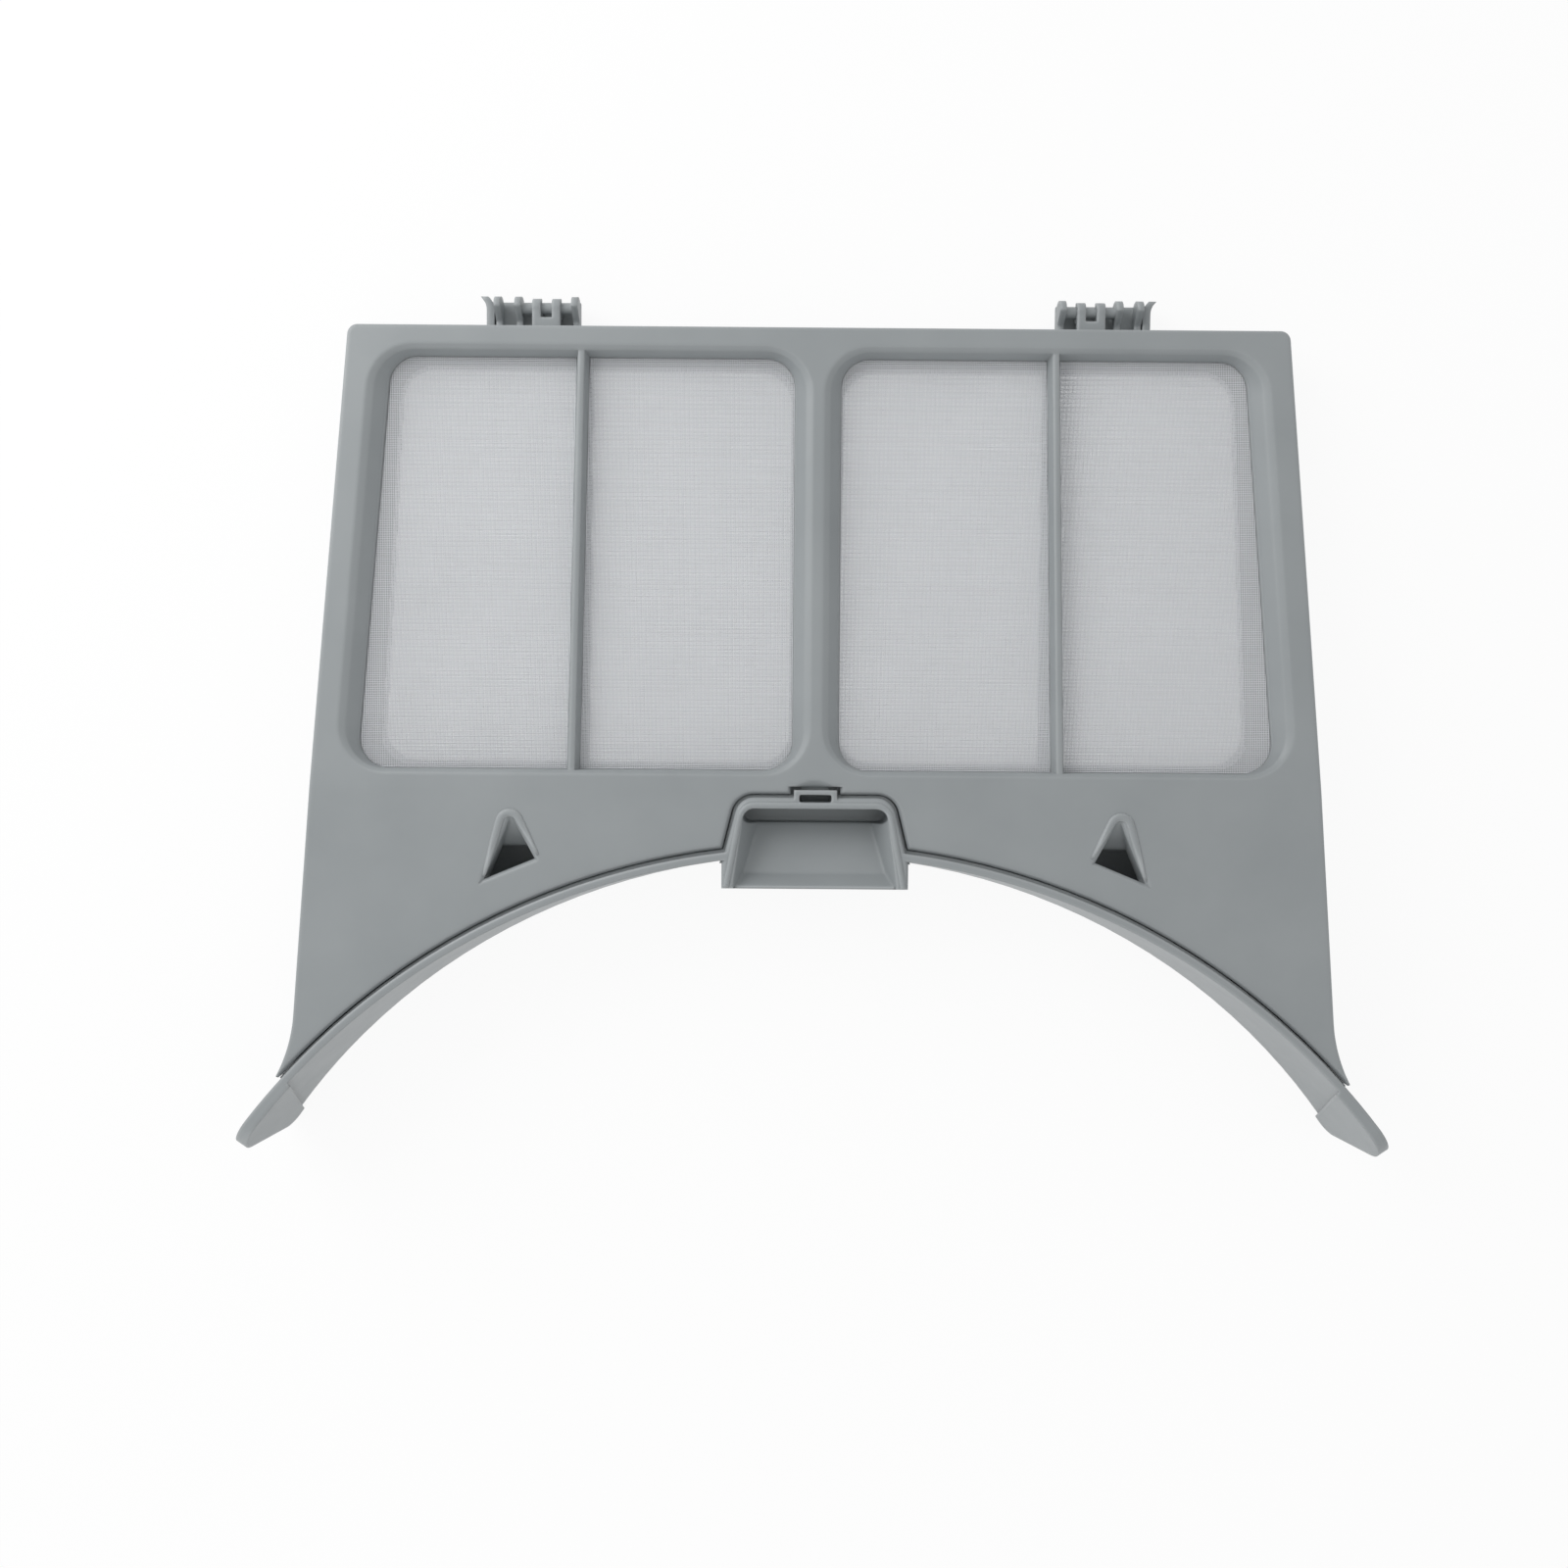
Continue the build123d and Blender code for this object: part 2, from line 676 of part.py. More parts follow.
# Webs, axles and trays of the hinges on the frame's end wall, with a flared horn at the outer end
horn_x = hinge_inner_x + horn_start
horn_root = hinge_end - wall / 2
with BuildPart() as hinge_webs:
    for web_start in web_starts:
        with BuildSketch(hinge_plane(web_start)):
            with BuildLine():
                Polyline(
                    (0, web_radius),
                    (-web_radius, -clip_arm_low),
                    (-arm_root, -clip_arm_low),
                    (-arm_root, -web_foot),
                    (0, -web_radius),
                )
                ThreePointArc((0, -web_radius), (web_radius, 0), (0, web_radius))
            make_face()
        extrude(amount=web_thickness)
    with BuildSketch(hinge_plane(web_starts[0])):
        Circle(axle_radius)
    extrude(amount=web_starts[1] - web_starts[0] + web_thickness)
    for tray_start, tray_end, tip in (
        (web_starts[0], web_starts[-1] + web_thickness, tray_reach),
        (web_starts[-1] + web_thickness, horn_start + horn_thickness, notch_reach),
    ):
        with BuildSketch(hinge_plane(tray_start)):
            with Locations((-arm_root, -clip_radius - tray_gap)):
                Rectangle(arm_root + tip, tray_wall, align=(Align.MIN, Align.MAX))
        extrude(amount=tray_end - tray_start)
    with BuildSketch(parting.offset(-clip_arm_low)):
        with BuildLine():
            Line((horn_x, horn_root), (horn_x, hinge_axis))
            TangentArc((horn_x, hinge_axis), (horn_x + horn_flare, hinge_axis + horn_reach), tangent=(0, 1))
            Line(
                (horn_x + horn_flare, hinge_axis + horn_reach),
                (horn_x + horn_flare + horn_thickness, hinge_axis + horn_reach),
            )
            TangentArc(
                (horn_x + horn_thickness, hinge_axis),
                (horn_x + horn_flare + horn_thickness, hinge_axis + horn_reach),
                tangent=(0, 1),
            )
            Line((horn_x + horn_thickness, hinge_axis), (horn_x + horn_thickness, horn_root))
            Line((horn_x + horn_thickness, horn_root), (horn_x, horn_root))
        make_face()
    extrude(amount=-horn_drop)
    mirror(about=Plane.YZ)

rear_wells = window_well(rear, rear_recess, rear_window, rear_slopes)
rear_ribs = window_ribs(rear, rear_recess, rear_window)

# The frame: the rear half, with the sill, the handle, the inlet and the hinge axles moulded on
with BuildPart() as rear_frame:
    with BuildSketch(parting) as frame_face:
        add(body_outline(frame_arch_radius))
        fillet(frame_face.vertices().group_by(Axis.Y)[-1], corner_round)
    extrude(amount=-reach)
    split(bisect_by=rear, keep=Keep.TOP)
    fillet(rear_frame.faces().filter_by(rear).edges().filter_by(on_flank), edge_round)
    add(frame_hollow.part, mode=Mode.SUBTRACT)
    add(frame_pane_space.part, mode=Mode.SUBTRACT)
    add(door_opening.part, mode=Mode.SUBTRACT)
    add(rear_wells, mode=Mode.SUBTRACT)
    add(rear_ribs)
    with BuildSketch(rear):
        with BuildLine():
            Polyline(
                (inlet_inner_x, inlet_top),
                (side_x(inlet_top) - inlet_margin, inlet_top),
                (side_x(inlet_low) - inlet_margin, inlet_low),
                (inlet_inner_x, inlet_low),
                close=True,
            )
        make_face()
        with Locations((0, -arch_drop)):
            Circle(cover_radius + inlet_land, mode=Mode.SUBTRACT)
        for bar_x, bar_width in ((inlet_bar_x, inlet_bar), (inlet_shade_x, inlet_shade)):
            with Locations((bar_x, inlet_low)):
                Rectangle(bar_width, -inlet_low, align=(Align.CENTER, Align.MIN), mode=Mode.SUBTRACT)
        mirror(about=Plane.YZ)
    extrude(amount=2 * wall, both=True, mode=Mode.SUBTRACT)
    add(sill.part)
    add(arch_ledge.part)
    add(lint_rim.part)
    add(handle_block.part)
    add(handle_ledge.part)
    with BuildSketch(lip):
        with Locations((0, handle_top + eye_rise - crease_line)):
            Rectangle(eye_width, eye_rise + eye_bar, align=(Align.CENTER, Align.MAX))
    extrude(amount=-eye_thickness)
    with BuildSketch(lip) as eye_slot:
        with Locations((0, handle_top + eye_rise - eye_bar - crease_line)):
            Rectangle(eye_slot_width, eye_slot_height, align=(Align.CENTER, Align.MAX))
        fillet(eye_slot.vertices(), eye_slot_round)
    extrude(amount=-eye_slot_depth, mode=Mode.SUBTRACT)
    add(handle_pocket.part, mode=Mode.SUBTRACT)
    add(hinge_webs.part)
rear_frame.part.label = "rear_frame"
export_step(rear_frame.part, "parts/rear_frame.step")


def screen_gaps(window, slopes):
    """Open cells between the threads of a screen, in rows and columns from the mullion outwards."""
    window_top, window_margin, mullion = window
    slope_side, slope_top, slope_bottom = slopes
    inner = mullion / 2 + slope_side + mesh_border
    top = window_top - slope_top - mesh_border
    bottom = window_bottom + slope_bottom + mesh_border
    margin = window_margin + slope_side + mesh_border
    columns = round((side_x(top) - margin - inner) / mesh_column)
    rows = round((top - bottom) / mesh_row)
    row_pitch = (top - bottom) / rows
    with BuildSketch() as gaps:
        for row in range(rows):
            low = bottom + row * row_pitch + mesh_thread / 2
            high = bottom + (row + 1) * row_pitch - mesh_thread / 2
            for column in range(columns):
                left = inner + column * mesh_column + mesh_thread / 2
                low_right = left + mesh_column - mesh_thread
                high_right = low_right
                if column == columns - 1:
                    low_right = side_x(low) - margin
                    high_right = side_x(high) - margin
                with BuildLine():
                    Polyline((left, low), (low_right, low), (high_right, high), (left, high), close=True)
                make_face()
        with BuildSketch(mode=Mode.INTERSECT) as field:
            add(window_outline(window, slopes, -mesh_border))
            chamfer(field.vertices(), mesh_corner)
    return gaps.sketch


# The screens: woven panes on the inner ends of the window collars
for half, seat, lay, window, slopes in (
    ("front", front_mesh_seat, -mesh_thickness, front_window, front_slopes),
    ("rear", rear_mesh_seat, mesh_thickness, rear_window, rear_slopes),
):
    with BuildPart() as screen_right:
        with BuildSketch(seat) as pane:
            add(window_outline(window, slopes, mesh_overlap))
            chamfer(pane.vertices(), mesh_corner)
            add(screen_gaps(window, slopes), mode=Mode.SUBTRACT)
        extrude(amount=lay)
    screen_right.part.label = f"{half}_mesh_right"
    export_step(screen_right.part, f"parts/{half}_mesh_right.step")
    with BuildPart() as screen_left:
        mirror(screen_right.part, about=Plane.YZ)
    screen_left.part.label = f"{half}_mesh_left"
    export_step(screen_left.part, f"parts/{half}_mesh_left.step")
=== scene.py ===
from math import cos, radians, sin, tan

import bpy
from mathutils import Matrix, Vector


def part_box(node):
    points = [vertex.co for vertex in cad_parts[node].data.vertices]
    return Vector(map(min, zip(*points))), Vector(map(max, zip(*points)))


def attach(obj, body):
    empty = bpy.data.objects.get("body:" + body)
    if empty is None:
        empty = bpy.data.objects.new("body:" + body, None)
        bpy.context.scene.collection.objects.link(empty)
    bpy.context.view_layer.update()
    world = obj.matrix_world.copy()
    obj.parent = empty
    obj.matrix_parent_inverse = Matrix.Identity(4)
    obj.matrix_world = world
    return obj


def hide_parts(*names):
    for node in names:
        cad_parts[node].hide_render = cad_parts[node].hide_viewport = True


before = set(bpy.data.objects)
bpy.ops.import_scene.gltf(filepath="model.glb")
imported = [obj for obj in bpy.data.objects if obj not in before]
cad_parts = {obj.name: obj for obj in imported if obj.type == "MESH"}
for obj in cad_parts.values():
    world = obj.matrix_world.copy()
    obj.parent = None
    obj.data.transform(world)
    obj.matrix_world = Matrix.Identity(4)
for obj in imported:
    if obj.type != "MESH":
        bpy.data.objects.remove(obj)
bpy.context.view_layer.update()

# Tumble dryer lint filter: satin grey mouldings, woven screens, rounded rims, a pale floor and soft light.
# Metres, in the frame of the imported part: +X right, +Y towards the hinges, +Z up off the rear face.

MM = 0.001

# The wedge and its screen panes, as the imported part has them
WEDGE_ANGLE = radians(5.8)
SIDE_SLOPE = radians(4.34)
FACE_MIDDLE = Vector((0.0, 0.713, 28.164)) * MM  # on the cover's face, at the cross bar
CREASE_LINE = -1.4 * MM
CREASE_ANGLE = radians(2.0)
PANE_BEVEL = 6.0 * MM  # at the corners of a packed pane
PANE_CORNER = 9.5 * MM  # radius at the corners of a woven screen

# The rounded rims of the triangular pockets: places across the cover, and along it from the cross bar
RIM_OUTER_END = (94.8 * MM, -27.0 * MM)
RIM_APEX = (88.2 * MM, -4.0 * MM)
RIM_INNER_END = (79.3 * MM, -20.8 * MM)
RIM_TIP_RADIUS = 2.9 * MM
RIM_WIDTH = 2.5 * MM
RIM_HEIGHT = 1.0 * MM  # half of it stands above the cover
RIM_END_SHARE = 0.35  # of the width and height, where the rim runs out

# The rounded lip of the handle, placed in the same way
LIP_TOP = (20.9 * MM, -6.1 * MM)
LIP_END = (25.4 * MM, -29.6 * MM)
LIP_RISE = 1.0 * MM  # of the handle above the cover
LIP_CORNER_RADIUS = 4.2 * MM
LIP_WIDTH = 1.8 * MM
LIP_HEIGHT = 1.0 * MM
LIP_END_SHARE = 1.0  # the lip keeps its size to both ends

RIM_INPUTS = ("Corner Radius", "Width", "Height", "End Share")
RIM_STEPS = 80
RIM_SIDES = 12

# The woven screens: their pitches differ, so that the two layers don't beat against each other
FRONT_PITCH = 0.50 * MM
REAR_PITCH = 0.36 * MM
SCREEN_INPUTS = ("Side", "Inner Edge", "Outer Edge", "Length", "Side Slope", "Corner", "Pitch", "Tilt")
THREAD_WIDTH = 0.48  # of the pitch
THREAD_HEIGHT = 0.24  # of the pitch
THREAD_LIFT = 0.12  # of the pitch, over or under the threads that it crosses
THREAD_SIDES = 4
WEFT_SEED = 3
WARP_SEED = 7

# Satin plastic: its tones, its noises (scale, detail, roughness) and the reach of the painted highlight on
# its soft edges
PLASTIC_DARK = (0.260, 0.281, 0.290, 1)
PLASTIC_LIGHT = (0.290, 0.311, 0.320, 1)
# lighter colour of the painted highlight along edges
PLASTIC_EDGE_HIGHLIGHT = (0.44, 0.465, 0.475, 1)
PLASTIC_TONE_SPAN = (0.3, 0.7)  # of the flow noise, from dark to light
PLASTIC_GLOSS = (0.38, 0.5)  # roughness, from the smoothest spots to the dullest
PLASTIC_SPECULAR = 0.5
FLOW_NOISE = (28.0, 4.0, 0.55)
GLOSS_NOISE = (160.0, 3.0, 0.6)
GRAIN_NOISE = (2600.0, 2.0, 0.5)
GRAIN_DEPTH = 0.05 * MM
GRAIN_STRENGTH = 0.12
EDGE_HIGHLIGHT_REACH = 0.8 * MM
EDGE_HIGHLIGHT_SHARE = 0.7
EDGE_HIGHLIGHT_FULL = 0.5  # openness, looking inwards, at which an edge gets the most painted highlight
EDGE_HIGHLIGHT_SAMPLES = 4
EDGE_RADIUS = 1.6 * MM
EDGE_SAMPLES = 8

# White thread
THREAD_DARK = (0.75, 0.767, 0.793, 1)
THREAD_LIGHT = (0.79, 0.807, 0.833, 1)
THREAD_TONE_SPAN = (0.2, 0.8)  # of the shade, from dark to light
THREAD_GLOSS = (0.4, 0.6)
CLOUD_NOISE = (45.0, 3.0, 0.5)
THREAD_SHARE = 0.2  # of the shade, by thread
CLOUD_SHARE = 0.8  # of the shade, by clouds over the whole screen
THREAD_SHEEN = 0.15

# Floor and light: an even pale room, a soft key from the upper left and a low fill
WHITE = (1, 1, 1, 1)
FLOOR_COLOUR = (0.9, 0.9, 0.9, 1)
FLOOR_ROUGHNESS = 0.9
FLOOR_SEEN_SHARE = 0.9  # of white, where the floor is seen; the rest takes the shadow
FLOOR_HALF_SPAN = 8.0
FLOOR_DROP = 0.1 * MM
ROOM_LIGHT = 0.70
ROOM_SEEN = 1.0
LAMP_SIZE = 0.5
KEY_PLACE = (-0.5, 0.44, 0.36)
KEY_AIM = (0, 0.03, 0)
KEY_POWER = 2.6
FILL_PLACE = (-0.35, -0.68, 0.24)
FILL_AIM = (0, 0.03, 0.01)
FILL_POWER = 1.0

# The photograph's viewpoint: square to the front face, a little left of the middle
PHOTO_SIZE = 1600
FOCAL_PIXELS = 1286
SENSOR_WIDTH = 36.0
CAMERA_AIM = FACE_MIDDLE + Vector((-9.0, 0.0, 0.0)) * MM
CAMERA_DISTANCE = 360.0 * MM
CAMERA_ROLL = radians(0.45)
CAMERA_NEAR = 0.01


class Nodes:
    """Short calls for building one node tree."""

    def __init__(self, tree):
        self.tree = tree

    def add(self, kind, inputs=None, **settings):
        """New node, with its settings first, because they decide which inputs it has."""
        node = self.tree.nodes.new(kind)
        for name, value in settings.items():
            setattr(node, name, value)
        for name, value in (inputs or {}).items():
            self.put(node.inputs[name], value)
        return node

    def put(self, socket, value):
        """Link another node's output to an input, or set it to a plain value."""
        if isinstance(value, bpy.types.NodeSocket):
            self.tree.links.new(value, socket)
        else:
            socket.default_value = value

    def math(self, operation, a, b=0.0):
        return self.add("ShaderNodeMath", {0: a, 1: b}, operation=operation).outputs[0]

    def axis(self, vector, axis):
        return self.add("ShaderNodeSeparateXYZ", {"Vector": vector}).outputs[axis]

    def greater(self, a, b):
        settings = {"data_type": "FLOAT", "operation": "GREATER_THAN"}
        return self.add("FunctionNodeCompare", {0: a, 1: b}, **settings).outputs["Result"]

    def noise(self, place, scale, detail, roughness):
        inputs = {"Vector": place, "Scale": scale, "Detail": detail, "Roughness": roughness}
        return self.add("ShaderNodeTexNoise", inputs).outputs["Fac"]

    def spread(self, value, low, high):
        """A value from 0 to 1, spread between two others."""
        node = self.add("ShaderNodeMapRange", {"Value": value, "To Min": low, "To Max": high})
        return node.outputs["Result"]

    def ramp(self, value, span, *tones):
        """A colour that goes from one tone to another over a span of values."""
        node = self.add("ShaderNodeValToRGB", {"Fac": value})
        for element, place, tone in zip(node.color_ramp.elements, span, tones):
            element.position = place
            element.color = tone
        return node.outputs["Color"]


def seen_rays(nodes):
    """1 for rays that show the surface: straight from the camera, or by way of gloss or glass."""
    path = nodes.add("ShaderNodeLightPath")
    either = nodes.math("MAXIMUM", path.outputs["Is Camera Ray"], path.outputs["Is Glossy Ray"])
    return nodes.math("MAXIMUM", either, path.outputs["Is Transmission Ray"])


def new_material(name):
    """Empty material with its output and one Principled surface."""
    material = bpy.data.materials.new(name)
    material.use_nodes = True
    tree = material.node_tree
    tree.nodes.clear()
    nodes = Nodes(tree)
    surface = nodes.add("ShaderNodeBsdfPrincipled")
    output = nodes.add("ShaderNodeOutputMaterial")
    tree.links.new(surface.outputs["BSDF"], output.inputs["Surface"])
    return material, nodes, surface


def satin_plastic():
    """Moulded grey plastic: fine spark-eroded grain, faint flow clouds and softened edges with a painted
    highlight.
    """
    material, nodes, surface = new_material("satin_grey_plastic")
    place = nodes.add("ShaderNodeTexCoord").outputs["Object"]
    tone = nodes.ramp(nodes.noise(place, *FLOW_NOISE), PLASTIC_TONE_SPAN, PLASTIC_DARK, PLASTIC_LIGHT)

    # Looking inwards, a point near an edge finds another face of its own wall close by, and there the colour
    # is lightened as a painted highlight
    inward = nodes.add(
        "ShaderNodeAmbientOcclusion",
        {"Distance": EDGE_HIGHLIGHT_REACH},
        samples=EDGE_HIGHLIGHT_SAMPLES,
        inside=True,
        only_local=True,
    )
    edge_highlight_mask = nodes.add(
        "ShaderNodeMapRange",
        {
            "Value": inward.outputs["AO"],
            "From Min": 1.0,
            "From Max": EDGE_HIGHLIGHT_FULL,
            "To Min": 0.0,
            "To Max": EDGE_HIGHLIGHT_SHARE,
        },
    )
    # Edges mixed towards the lighter colour: a painted highlight
    painted_edge_highlight = nodes.add(
        "ShaderNodeMix", {0: edge_highlight_mask.outputs["Result"], 6: tone, 7: PLASTIC_EDGE_HIGHLIGHT}, data_type="RGBA"
    )
    nodes.put(surface.inputs["Base Color"], painted_edge_highlight.outputs[2])

    gloss = nodes.noise(place, *GLOSS_NOISE)
    nodes.put(surface.inputs["Roughness"], nodes.spread(gloss, *PLASTIC_GLOSS))
    soft_edge = nodes.add("ShaderNodeBevel", {"Radius": EDGE_RADIUS}, samples=EDGE_SAMPLES)
    relief = nodes.add(
        "ShaderNodeBump",
        {
            "Height": nodes.noise(place, *GRAIN_NOISE),
            "Strength": GRAIN_STRENGTH,
            "Distance": GRAIN_DEPTH,
            "Normal": soft_edge.outputs["Normal"],
        },
    )
    nodes.put(surface.inputs["Normal"], relief.outputs["Normal"])
    surface.inputs["Specular IOR Level"].default_value = PLASTIC_SPECULAR
    return material


def nylon_thread():
    """White woven thread, each one a slightly different tone."""
    material, nodes, surface = new_material("white_nylon_thread")
    tone = nodes.add("ShaderNodeAttribute", attribute_name="thread_tone").outputs["Fac"]
    place = nodes.add("ShaderNodeTexCoord").outputs["Object"]
    clouds = nodes.noise(place, *CLOUD_NOISE)
    by_thread = nodes.math("MULTIPLY", tone, THREAD_SHARE)
    shade = nodes.math("ADD", by_thread, nodes.math("MULTIPLY", clouds, CLOUD_SHARE))
    nodes.put(surface.inputs["Base Color"], nodes.ramp(shade, THREAD_TONE_SPAN, THREAD_DARK, THREAD_LIGHT))
    nodes.put(surface.inputs["Roughness"], nodes.spread(clouds, *THREAD_GLOSS))
    surface.inputs["Sheen Weight"].default_value = THREAD_SHEEN
    return material


def pale_floor():
    """White floor that takes the shadow, lifted to white where it is seen."""
    material, nodes, surface = new_material("pale_floor")
    surface.inputs["Base Color"].default_value = FLOOR_COLOUR
    surface.inputs["Roughness"].default_value = FLOOR_ROUGHNESS
    glow = nodes.add("ShaderNodeEmission", {"Color": WHITE, "Strength": 1.0})
    share = nodes.math("MULTIPLY", seen_rays(nodes), FLOOR_SEEN_SHARE)
    mixed = nodes.add(
        "ShaderNodeMixShader", {"Fac": share, 1: surface.outputs["BSDF"], 2: glow.outputs["Emission"]}
    )
    output = nodes.tree.nodes["Material Output"]
    nodes.put(output.inputs["Surface"], mixed.outputs["Shader"])
    return material


def new_tree(name, numbers, vectors=()):
    """Empty Geometry Nodes tree with named inputs, its nodes and what its inputs give."""
    tree = bpy.data.node_groups.new(name, "GeometryNodeTree")
    tree.interface.new_socket("Geometry", in_out="INPUT", socket_type="NodeSocketGeometry")
    for number in numbers:
        tree.interface.new_socket(number, in_out="INPUT", socket_type="NodeSocketFloat")
    for vector in vectors:
        tree.interface.new_socket(vector, in_out="INPUT", socket_type="NodeSocketVector")
    tree.interface.new_socket("Geometry", in_out="OUTPUT", socket_type="NodeSocketGeometry")
    nodes = Nodes(tree)
    return tree, nodes, nodes.add("NodeGroupInput").outputs


def end_tree(nodes, geometry, material):
    """The end of every tree: a plain mesh with its material."""
    real = nodes.add("GeometryNodeRealizeInstances", {"Geometry": geometry})
    finished = nodes.add(
        "GeometryNodeSetMaterial", {"Geometry": real.outputs["Geometry"], "Material": material}
    )
    nodes.add("NodeGroupOutput", {"Geometry": finished.outputs["Geometry"]})


def flattened_tube(nodes, curve, wide, high, sides, scale=1.0):
    """Closed tube along a curve, with a flattened round section that stands upright."""
    upright = nodes.add("GeometryNodeSetCurveNormal", {"Curve": curve}, mode="Z_UP")
    round_section = nodes.add("GeometryNodeCurvePrimitiveCircle", {"Resolution": sides, "Radius": 0.5})
    size = nodes.add("ShaderNodeCombineXYZ", {"X": wide, "Y": high, "Z": 1.0})
    section = nodes.add(
        "GeometryNodeTransform", {"Geometry": round_section.outputs["Curve"], "Scale": size.outputs["Vector"]}
    )
    tube = nodes.add(
        "GeometryNodeCurveToMesh",
        {
            "Curve": upright.outputs["Curve"],
            "Profile Curve": section.outputs["Geometry"],
            "Scale": scale,
            "Fill Caps": True,
        },
    )
    return tube.outputs["Mesh"]


def grown_piece(name, start, tree, values):
    """The plain mesh that a tree makes of a starting mesh, with the tree's inputs set by their names."""
    carrier = bpy.data.objects.new("carrier", start)
    bpy.context.scene.collection.objects.link(carrier)
    growth = carrier.modifiers.new("growth", "NODES")
    growth.node_group = tree
    for item in tree.interface.items_tree:
        if item.in_out == "INPUT" and item.name in values:
            growth[item.identifier] = values[item.name]
    bpy.context.view_layer.update()
    evaluated = carrier.evaluated_get(bpy.context.evaluated_depsgraph_get())
    mesh = bpy.data.meshes.new_from_object(evaluated)
    carrier.modifiers.remove(growth)
    bpy.data.objects.remove(carrier)
    piece = bpy.data.objects.new(name, mesh)
    bpy.context.scene.collection.objects.link(piece)
    return piece


def rim_tree(plastic):
    """Geometry Nodes for a rounded rim: a flattened bead on a path with round corners, thin at its ends."""
    tree, nodes, given = new_tree("rounded_rim", RIM_INPUTS)
    math = nodes.math
    path = nodes.add("GeometryNodeMeshToCurve", {"Mesh": given["Geometry"]})
    rounded = nodes.add(
        "GeometryNodeFilletCurve",
        {"Curve": path.outputs["Curve"], "Radius": given["Corner Radius"], "Count": RIM_STEPS},
        mode="POLY",
    )
    even = nodes.add("GeometryNodeResampleCurve", {"Curve": rounded.outputs["Curve"], "Count": RIM_STEPS})

    # Full size at the middle of the path, falling off to the share at both ends
    along = nodes.add("GeometryNodeSplineParameter").outputs["Factor"]
    off_middle = math("ABSOLUTE", math("SUBTRACT", math("MULTIPLY", along, 2.0), 1.0))
    fall = math("MULTIPLY", math("SUBTRACT", 1.0, given["End Share"]), math("POWER", off_middle, 2.0))
    scale = math("SUBTRACT", 1.0, fall)
    bead = flattened_tube(nodes, even.outputs["Curve"], given["Width"], given["Height"], RIM_SIDES, scale)
    smooth = nodes.add("GeometryNodeSetShadeSmooth", {"Geometry": bead})
    end_tree(nodes, smooth.outputs["Geometry"], plastic)
    return tree


def on_apron(across, along, rise=0.0):
    """Point on, or above, the lower face of the cover, which falls away a little at the crease."""
    apron_angle = WEDGE_ANGLE - CREASE_ANGLE
    crease = FACE_MIDDLE + Vector((0, cos(WEDGE_ANGLE), -sin(WEDGE_ANGLE))) * CREASE_LINE
    down_apron = Vector((0, cos(apron_angle), -sin(apron_angle))) * (along - CREASE_LINE)
    lifted = Vector((0, sin(apron_angle), cos(apron_angle))) * rise
    return crease + down_apron + lifted + Vector((across, 0, 0))


def add_rims(plastic):
    """Rounded rims on the cover's triangular pockets and on the lip of the frame's handle."""
    tree = rim_tree(plastic)
    pocket_points = []
    for side in (1, -1):
        for across, along in (RIM_OUTER_END, RIM_APEX, RIM_INNER_END):
            pocket_points.append(on_apron(side * across, along))
    lip_points = []
    for side, (across, along) in ((-1, LIP_END), (-1, LIP_TOP), (1, LIP_TOP), (1, LIP_END)):
        lip_points.append(on_apron(side * across, along, LIP_RISE))
    pocket_sizes = (RIM_TIP_RADIUS, RIM_WIDTH, RIM_HEIGHT, RIM_END_SHARE)
    lip_sizes = (LIP_CORNER_RADIUS, LIP_WIDTH, LIP_HEIGHT, LIP_END_SHARE)
    for name, body, points, edges, sizes in (
        ("pocket_rims", "cover", pocket_points, [(0, 1), (1, 2), (3, 4), (4, 5)], pocket_sizes),
        ("handle_lip", "frame", lip_points, [(0, 1), (1, 2), (2, 3)], lip_sizes),
    ):
        path = bpy.data.meshes.new("rim_path")
        path.from_pydata(points, edges, [])
        rim = grown_piece(name, path, tree, dict(zip(RIM_INPUTS, sizes)))
        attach(rim, body)


